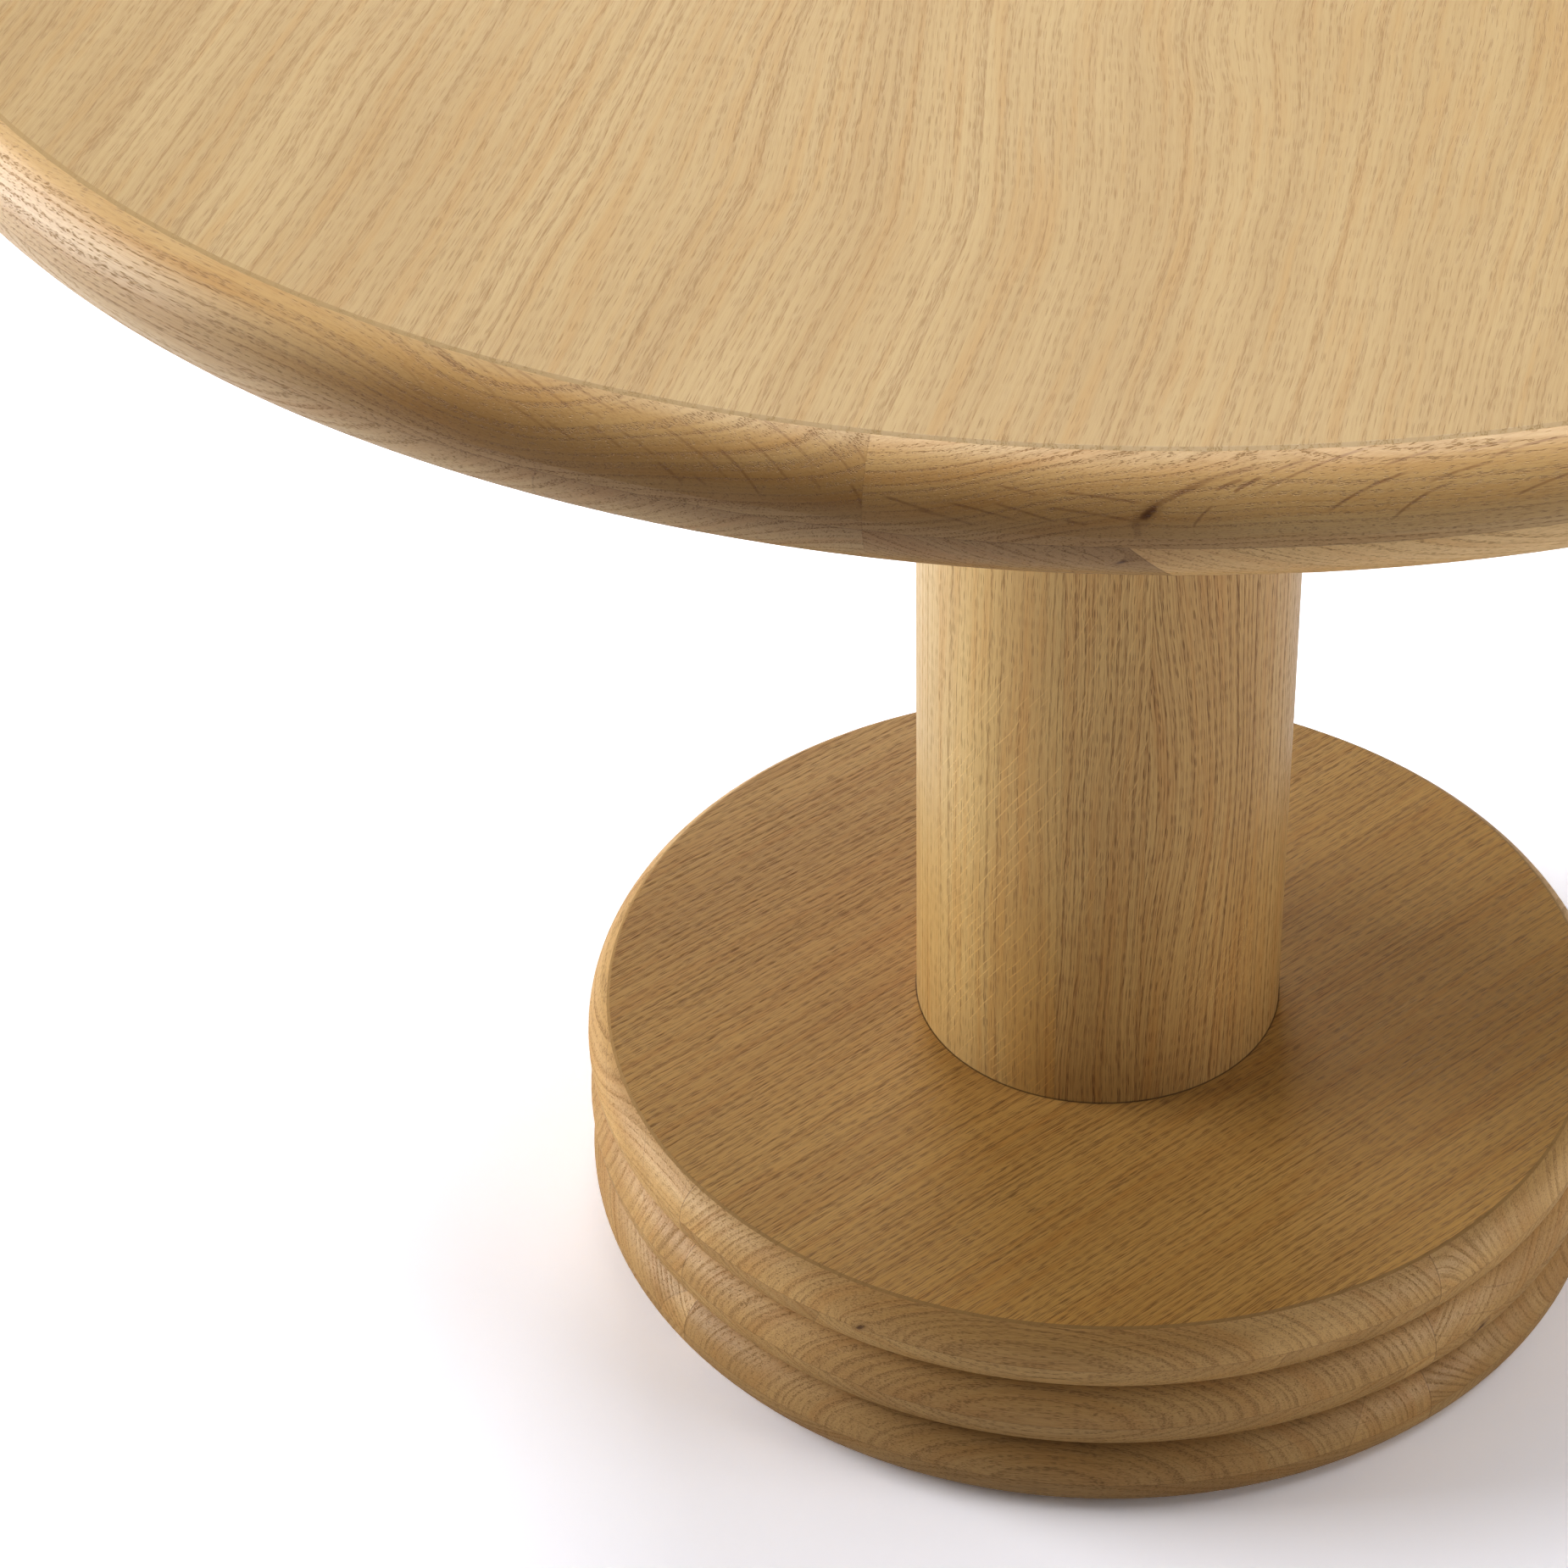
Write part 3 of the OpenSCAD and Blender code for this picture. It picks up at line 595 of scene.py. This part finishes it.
# where the curved face cuts through the rays: a straight run to the left of the joint, and arcs that sweep up from the knot
LIP_MARKS = {
    6: (
        (-116.1, 3.9, -112.9, 13.0, 0.6, 0.42, 0.22), (-114.9, 2.0, -113.5, 6.4, 0.2, 0.34, 0.20), (-114.2, 1.0, -111.2, 10.4, 0.7, 0.42, 0.22),
        (-112.9, 1.5, -109.9, 11.4, 0.7, 0.48, 0.22), (-110.4, 2.5, -108.2, 9.1, 0.4, 0.42, 0.20), (-108.5, 4.0, -107.3, 7.4, 0.2, 0.40, 0.20),
        (-110.0, 8.3, -108.7, 11.6, 0.2, 0.40, 0.22), (-112.6, 13.6, -110.7, 19.6, 0.4, 0.44, 0.24), (-111.1, 15.8, -109.7, 20.8, 0.3, 0.44, 0.24),
        (-109.3, 14.4, -107.8, 19.8, 0.5, 0.48, 0.24), (-108.1, 13.8, -106.5, 20.1, 0.5, 0.48, 0.24), (-106.5, 21.4, -105.4, 27.5, 0.4, 0.56, 0.34),
        (-106.7, 9.2, -103.7, 23.2, 1.2, 0.44, 0.24), (-106.0, 6.8, -104.6, 11.2, 0.3, 0.34, 0.20), (-105.1, 23.2, -104.5, 27.5, 0.3, 0.50, 0.34),
        (-104.4, 13.0, -102.4, 28.6, 1.7, 0.58, 0.28), (-103.5, 8.3, -101.4, 21.6, 1.3, 0.48, 0.24), (-103.1, 0.5, -100.5, 15.8, 1.3, 0.46, 0.24),
        (-100.7, 18.4, -100.3, 22.8, 0.3, 0.48, 0.30), (-101.1, 3.0, -99.2, 16.2, 1.2, 0.44, 0.24), (-99.4, 6.2, -98.8, 11.4, 0.4, 0.40, 0.24),
        (-99.3, 18.8, -98.8, 27.0, 0.8, 0.54, 0.30), (-117.5, 11.0, -115.9, 19.0, 1.2, 0.30, 0.22),
    ),
    1: (
        (-98.1, 21.8, -96.0, 26.4, 0.3, 0.50, 0.26), (-95.8, 21.8, -93.2, 26.5, 0.3, 0.46, 0.24), (-96.9, 25.2, -94.6, 29.4, 0.3, 0.42, 0.24),
        (-94.1, 15.0, -92.5, 17.9, 0.2, 0.38, 0.22), (-94.2, 20.8, -91.8, 26.5, 0.3, 0.40, 0.22), (-92.3, 21.4, -89.1, 25.1, 0.4, 0.44, 0.24),
        (-91.8, 16.2, -88.8, 19.2, 0.3, 0.46, 0.24), (-91.6, 25.5, -90.8, 27.0, 0.1, 0.46, 0.26),
        (-88.7, 21.6, -86.6, 12.4, 0.9, 0.52, 0.60), (-87.6, 15.0, -84.6, 7.2, 0.8, 0.40, 0.50), (-89.15, 24.0, -89.0, 31.5, 0.3, 0.26, 0.9),
        (-87.1, 27.2, -86.4, 19.8, 0.6, 0.50, 0.22), (-86.3, 14.9, -85.3, 11.3, 0.3, 0.56, 0.34), (-85.7, 15.8, -84.6, 10.6, 0.3, 0.60, 0.34),
        (-84.4, 9.6, -82.9, 5.6, 0.3, 0.40, 0.20), (-85.0, 16.6, -80.6, 2.2, 1.3, 0.46, 0.22), (-82.4, 23.2, -79.3, 11.5, 1.7, 0.60, 0.26),
        (-80.3, 9.0, -78.3, 5.0, 0.3, 0.42, 0.22), (-80.15, 27.6, -77.7, 15.9, 2.0, 0.56, 0.26), (-78.8, 15.6, -76.3, 10.8, 0.5, 0.48, 0.24),
        (-77.5, 6.8, -75.5, 4.2, 0.2, 0.38, 0.20), (-76.4, 9.2, -73.4, 5.2, 0.7, 0.46, 0.22), (-75.6, 22.6, -73.4, 17.2, 0.4, 0.50, 0.24),
    ),
}
for k in range(1, 7):
    middle = -68.8 + 60 * (k - 1)
    extra = dict(rays=0.20)
    if k == 1:
        extra = dict(
            patches=((-89.3, -1.0, 1.0, "lower", 1.40, -0.02), (-89.3, -1.0, -1.0, "lower", 0.86, 0.03)),
            knots=((-88.62, 743.7, 2.3), (-89.45, 724.0, 1.2)), pith_turn=(-236.0, -128.0, 89.0, 17.0),
            bold=((-93.5, 751.0, 42.0, 9.0, 0.7),),
            # painted shade: a darker band along the lip's front, where the front face gets little light
            streaks=((-300.0, -165.0, 722.0, 750.0, 30.0, (0.84, 0.77, 0.68, 1.0)),),
        )
    if k == 6:
        extra = dict(
            lower_gain=(0.94, 0.0), patches=((-111.3, 0.4, 1.0, "lower", 0.95, 0.01),),
            swells=((143.0, 48.0, 9.0),), bold=((-118.0, 748.0, 42.0, 8.0, 1.4), (-105.0, 750.0, 60.0, 9.0, 0.5)),
            # painted shade: a darker band along the lip's front, where the front face gets little light
            streaks=((90.0, 300.0, 727.0, 750.0, 50.0, (0.82, 0.74, 0.64, 1.0)),),
        )
    paint(
        f"top_lipping_{k}",
        blank(
            f"oak_lip_{k}", tinted(LIP_TONE, (1.09, 1.03, 0.98, 1.02, 0.97, 1.01)[k - 1]), middle, 731.0,
            2.0 + k * 1.37, (middle - 30.0, middle + 30.0), 525.0, 2.2 if k == 1 else 3.0, inner_edge=509.0,
            contrast=0.32, pore_len=5.0, pore_wide=0.32, pores=0.34 if k == 1 else 0.40, fibre=0.30, blotch=0.8, face=(735.0, 27.53125),
            background=0.06, wander=9.0, piths=LIP_PITHS.get(k), joint_dark=0.16, marks=LIP_MARKS.get(k, ()),
            mark_dark=0.62 if k == 6 else 0.86, **extra,
        ),
    )

RIM_PATCHES = {
    ("upper", 1): ((-119.3, 0.3, -1.0, "lower", 0.84, 0.02),),
    ("upper", 2): ((-68.8 + 0.0, 0.5, 1.0, "lower", 0.86, 0.02),),
    ("middle", 1): ((-53.9, 0.2, 1.0, "lower", 1.16, -0.01),),
    ("lower", 4): ((-144.7, 0.2, 1.0, None, 1.14, -0.01),),
    ("lower", 1): ((-60.7, 0.3, 1.0, None, 1.07, 0.0),),
}
RIM_PATCHES[("upper", 1)] = (
    (-119.3, 0.3, -1.0, "lower", 0.84, 0.02),
    (-68.8, 0.5, 1.0, "lower", 0.86, 0.02),
)
del RIM_PATCHES[("upper", 2)]
RIM_KNOTS = {
    ("upper", 1): ((-114.3, 93.0, 1.8),),
    ("middle", 2): ((-42.9, 52.0, 2.0),),
}
RIM_PITHS = {
    ("upper", 1): ((-92, 11), (-140, -60)), ("upper", 2): ((-80, -5), (-120, 60)), ("upper", 4): ((-60, -80), (-120, 50)),
    ("middle", 1): ((-100, 6), (-85, -50)), ("middle", 2): ((-150, 60), (-90, -40)), ("middle", 4): ((-130, -30), (-70, 60)),
    ("lower", 1): ((-118, 2), (-65, 70)), ("lower", 2): ((-110, -42), (-110, 40)), ("lower", 4): ((-100, 40), (-140, -30)),
}
for i, disc in enumerate(("lower", "middle", "upper")):
    split = 2.0 + 36.0 * i + 18.0
    for k in range(1, 5):
        middle = -95.0 + 90 * (k - 1)
        gain = (0.91, 0.98, 1.11)[i] * (1.0, 0.98, 1.03, 1.0)[k - 1]
        paint(
            f"{disc}_rim_{k}",
            blank(
                f"oak_{disc}_rim_{k}", tinted(RIM_TONE, gain, (0.035, 0.035, 0.01)[i]), middle, split,
                20.0 + i * 5.3 + k * 1.91, (middle - 45.0, middle + 45.0), 250.0, (2.5, 2.9, 2.7)[i],
                inner_edge=239.0 if disc == "upper" else None,
                lower_gain=((0.96, 0.0), (0.93, 0.01), (0.97, -0.01))[(i + k) % 3],
                patches=RIM_PATCHES.get((disc, k), ()), knots=RIM_KNOTS.get((disc, k), ()),
                contrast=0.24 if k == 4 else 0.30, pore_len=4.2, pore_wide=0.30, pores=0.42, fibre=0.40, blotch=0.9, gloss=0.45, joint_dark=0.50,
                background=0.10, rays=0.26, wander=12.0, piths=RIM_PITHS.get((disc, k)),
                ray_colour=srgb(214, 178, 130) if (i, k) in ((0, 2), (1, 1), (0, 4)) else None,
            ),
        )

COLUMN_LOOK = dict(pore_len=7.5, pore_wide=0.30, blotch=0.6, background=0.10, band=(0.14, 0.50), fine_share=0.7)
# Tints on the left leaf. The first is painted highlight: a paler, cooler sheen down the lit left edge, fading out
# towards the bottom. The other two make the leaf's right part warmer, more so towards the foot.
LEFT_TINTS_AND_SHEEN = (
    (-52.0, -104.0, 170.0, 290.0, (1.0, 1.06, 1.26)),
    (-54.0, -36.0, 720.0, 90.0, (1.0, 0.93, 0.86)),
    (-58.0, -34.0, 260.0, 120.0, (1.0, 0.96, 0.86)),
)
for node, gain, warm, seed, spacing, wave, lean, flecks, bulge, contrast, pores, fibre in (
    ("column_veneer_left", 1.03, -0.05, 1.5, 4.9, 9.0, 0.0, ((0.56, 58.0, -84.0, -15.0, 100.0, 350.0),), None, 0.40, 0.34, 0.42),
    ("column_veneer_front", 1.0, 0.01, 3.5, 3.5, 13.0, -0.02, ((0.40, 72.0, -19.0, 20.0, 230.0, 420.0),), None, 0.85, 0.62, 0.60),
    ("column_veneer_right", 0.92, 0.03, 5.5, 4.0, 10.0, 0.0, ((0.45, 60.0, 38.0, 85.0, 110.0, 230.0),), (44.0, 285.0, 15.0), 0.82, 0.66, 0.50),
    ("column_veneer_back_right", 0.99, 0.0, 7.5, 4.6, 12.0, 0.0, (), None, 0.58, 0.46, 0.38),
    ("column_veneer_back_left", 0.99, 0.0, 9.5, 4.8, 10.0, 0.01, (), None, 0.56, 0.46, 0.38),
):
    paint(
        node,
        column_veneer(
            "oak_" + node, tinted(COLUMN_TONE, gain, warm), seed, spacing, wave, lean, flecks, bulge,
            contrast=contrast, pores=pores, fibre=fibre, tints_and_sheen=LEFT_TINTS_AND_SHEEN if node == "column_veneer_left" else (), **COLUMN_LOOK,
        ),
    )

BOARD = (srgb(222, 200, 160), srgb(205, 180, 138), srgb(178, 148, 104), srgb(140, 110, 72))
PLY = (srgb(226, 202, 160), srgb(208, 180, 136), srgb(176, 144, 100), srgb(136, 104, 66))
BEECH = (srgb(230, 198, 160), srgb(216, 180, 140), srgb(190, 148, 108), srgb(160, 118, 80))
quiet = dict(spacing=3.2, contrast=0.35, pore_len=3.0, pore_wide=0.4, pores=0.30, fibre=0.3)
paint("top_core", plain_wood("blockboard_top", BOARD, "y", 41.0, strips=24.0, **quiet))
for n, seed in (("upper", 42.0), ("middle", 43.0), ("lower", 44.0)):
    paint(f"{n}_disc_core", plain_wood(f"blockboard_{n}", BOARD, "x", seed, strips=24.0, **quiet))
paint("column_staves", plain_wood("plywood_staves", PLY, "z", 45.0, **quiet))
paint("column_top_plug", plain_wood("plywood_top_plug", PLY, "x", 46.0, **quiet))
paint("column_bottom_plug", plain_wood("plywood_bottom_plug", PLY, "x", 47.0, **quiet))
for n, axis in (("top_edge_dowels", "x"), ("base_rim_dowels", "x"), ("column_foot_dowels", "z")):
    paint(n, plain_wood("beech_" + n, BEECH, axis, 48.0, **quiet))

coat = powder_coat("black_powder_coat")
zinc = metal("zinc_plate", (0.60, 0.61, 0.62, 1), (0.47, 0.48, 0.50, 1), 0.33)
brass = metal("brass_machined", (0.66, 0.50, 0.22, 1), (0.55, 0.40, 0.16, 1), 0.30, brushed=False)
for n in ("top_plate", "rod_boss", "ballast_plate"):
    paint(n, coat)
for n in ("plate_screws", "tie_rod", "rod_washer", "rod_nut", "head_pins", "ballast_screws", "stack_bolts", "foot_inserts"):
    paint(n, zinc)
for n in ("plate_inserts", "stack_inserts"):
    paint(n, brass)
pad = nylon("black_nylon")
for k in range(1, 5):
    paint(f"foot_pad_{k}", pad)
    paint(f"foot_stem_{k}", zinc)

# ------------------------------------------------------------------ floor, light, world
floor_mesh = bpy.data.meshes.new("floor")
floor_mesh.from_pydata([(-14, -14, 0), (14, -14, 0), (14, 14, 0), (-14, 14, 0)], [], [(0, 1, 2, 3)])
floor = bpy.data.objects.new("floor", floor_mesh)
scene.collection.objects.link(floor)
g = Graph("studio_floor")
x, y, z = g.place()
tone_share = g.noise(x / 900.0, y / 900.0, z, detail=2.0)
# the camera sees a floor of lit white paper; what the table gets back from it is what plain paper gives
seen_floor = g.node("ShaderNodeBsdfDiffuse")
g.put(seen_floor.inputs["Color"], g.mix(tone_share, (1.36, 1.40, 1.53, 1), (1.38, 1.42, 1.55, 1)))
paper = g.node("ShaderNodeBsdfDiffuse")
g.put(paper.inputs["Color"], g.mix(tone_share, (0.90, 0.893, 0.893, 1), (0.925, 0.92, 0.92, 1)))
# far out, past the lights' reach, the paper stays as white as near the table
radius = g.math("SQRT", x * x + y * y)
white = g.node("ShaderNodeEmission")
far_floor = g.node("ShaderNodeMixShader")
g.put(far_floor.inputs[0], g.step(radius, 1500.0, 2700.0))
g.tree.links.new(seen_floor.outputs[0], far_floor.inputs[1])
g.tree.links.new(white.outputs[0], far_floor.inputs[2])
# a dim glow below the base, so that its underside shows from below
glow = g.node("ShaderNodeEmission")
glow.inputs["Color"].default_value = (0.32, 0.31, 0.30, 1.0)
near_floor = g.node("ShaderNodeMixShader")
g.put(near_floor.inputs[0], g.step(radius, 240.0, 232.0))
g.tree.links.new(paper.outputs[0], near_floor.inputs[1])
g.tree.links.new(glow.outputs[0], near_floor.inputs[2])
rays = g.node("ShaderNodeLightPath")
either = g.node("ShaderNodeMixShader")
g.tree.links.new(rays.outputs["Is Camera Ray"], either.inputs[0])
g.tree.links.new(near_floor.outputs[0], either.inputs[1])
g.tree.links.new(far_floor.outputs[0], either.inputs[2])
g.material.cycles.emission_sampling = "NONE"
# seen from underneath, the floor lets the view and the light through
through = g.node("ShaderNodeBsdfTransparent")
side = g.node("ShaderNodeNewGeometry")
choice = g.node("ShaderNodeMixShader")
g.tree.links.new(side.outputs["Backfacing"], choice.inputs[0])
g.tree.links.new(either.outputs[0], choice.inputs[1])
g.tree.links.new(through.outputs[0], choice.inputs[2])
g.tree.links.new(choice.outputs[0], g.out.inputs["Surface"])
floor_mesh.materials.append(g.material)


def softbox(name, place, size, watts):
    """A square soft light that looks at the middle of the table's height."""
    data = bpy.data.lights.new(name, "AREA")
    data.shape, data.size, data.energy = "SQUARE", size, watts
    made = bpy.data.objects.new(name, data)
    scene.collection.objects.link(made)
    made.location = place
    made.rotation_mode = "QUATERNION"
    made.rotation_quaternion = (Vector(place) - Vector((0, 0, 0.45))).to_track_quat("Z", "Y")


def around(azimuth, height, far=2.7):
    a = math.radians(azimuth)
    return (far * math.cos(a), far * math.sin(a), height)


softbox("overhead", (-0.1, 0.4, 2.9), 2.2, 77.9)
softbox("over_front", (0.2, -0.5, 2.9), 1.6, 29.8)
softbox("over_right", (1.4, -0.3, 2.6), 1.6, 25.8)
softbox("left_wall", (-2.4, 0.1, 0.9), 1.6, 64.0)
softbox("left_low", around(190, 0.7), 1.0, 4.6)
softbox("back_low", around(100, 0.75), 1.3, 35.2)
softbox("right_low", around(340, 0.75), 1.3, 28.7)

world = bpy.data.worlds.new("studio")
scene.world = world
world.use_nodes = True
tree = world.node_tree
tree.nodes.clear()
out = tree.nodes.new("ShaderNodeOutputWorld")
lit = tree.nodes.new("ShaderNodeBackground")
lit.inputs[0].default_value = (1.0, 1.0, 1.0, 1.0)
lit.inputs[1].default_value = 0.012
seen = tree.nodes.new("ShaderNodeBackground")
seen.inputs[0].default_value = (1.0, 1.0, 1.0, 1.0)
path = tree.nodes.new("ShaderNodeLightPath")
both = tree.nodes.new("ShaderNodeMixShader")
tree.links.new(path.outputs["Is Camera Ray"], both.inputs[0])
tree.links.new(lit.outputs[0], both.inputs[1])
tree.links.new(seen.outputs[0], both.inputs[2])
tree.links.new(both.outputs[0], out.inputs["Surface"])
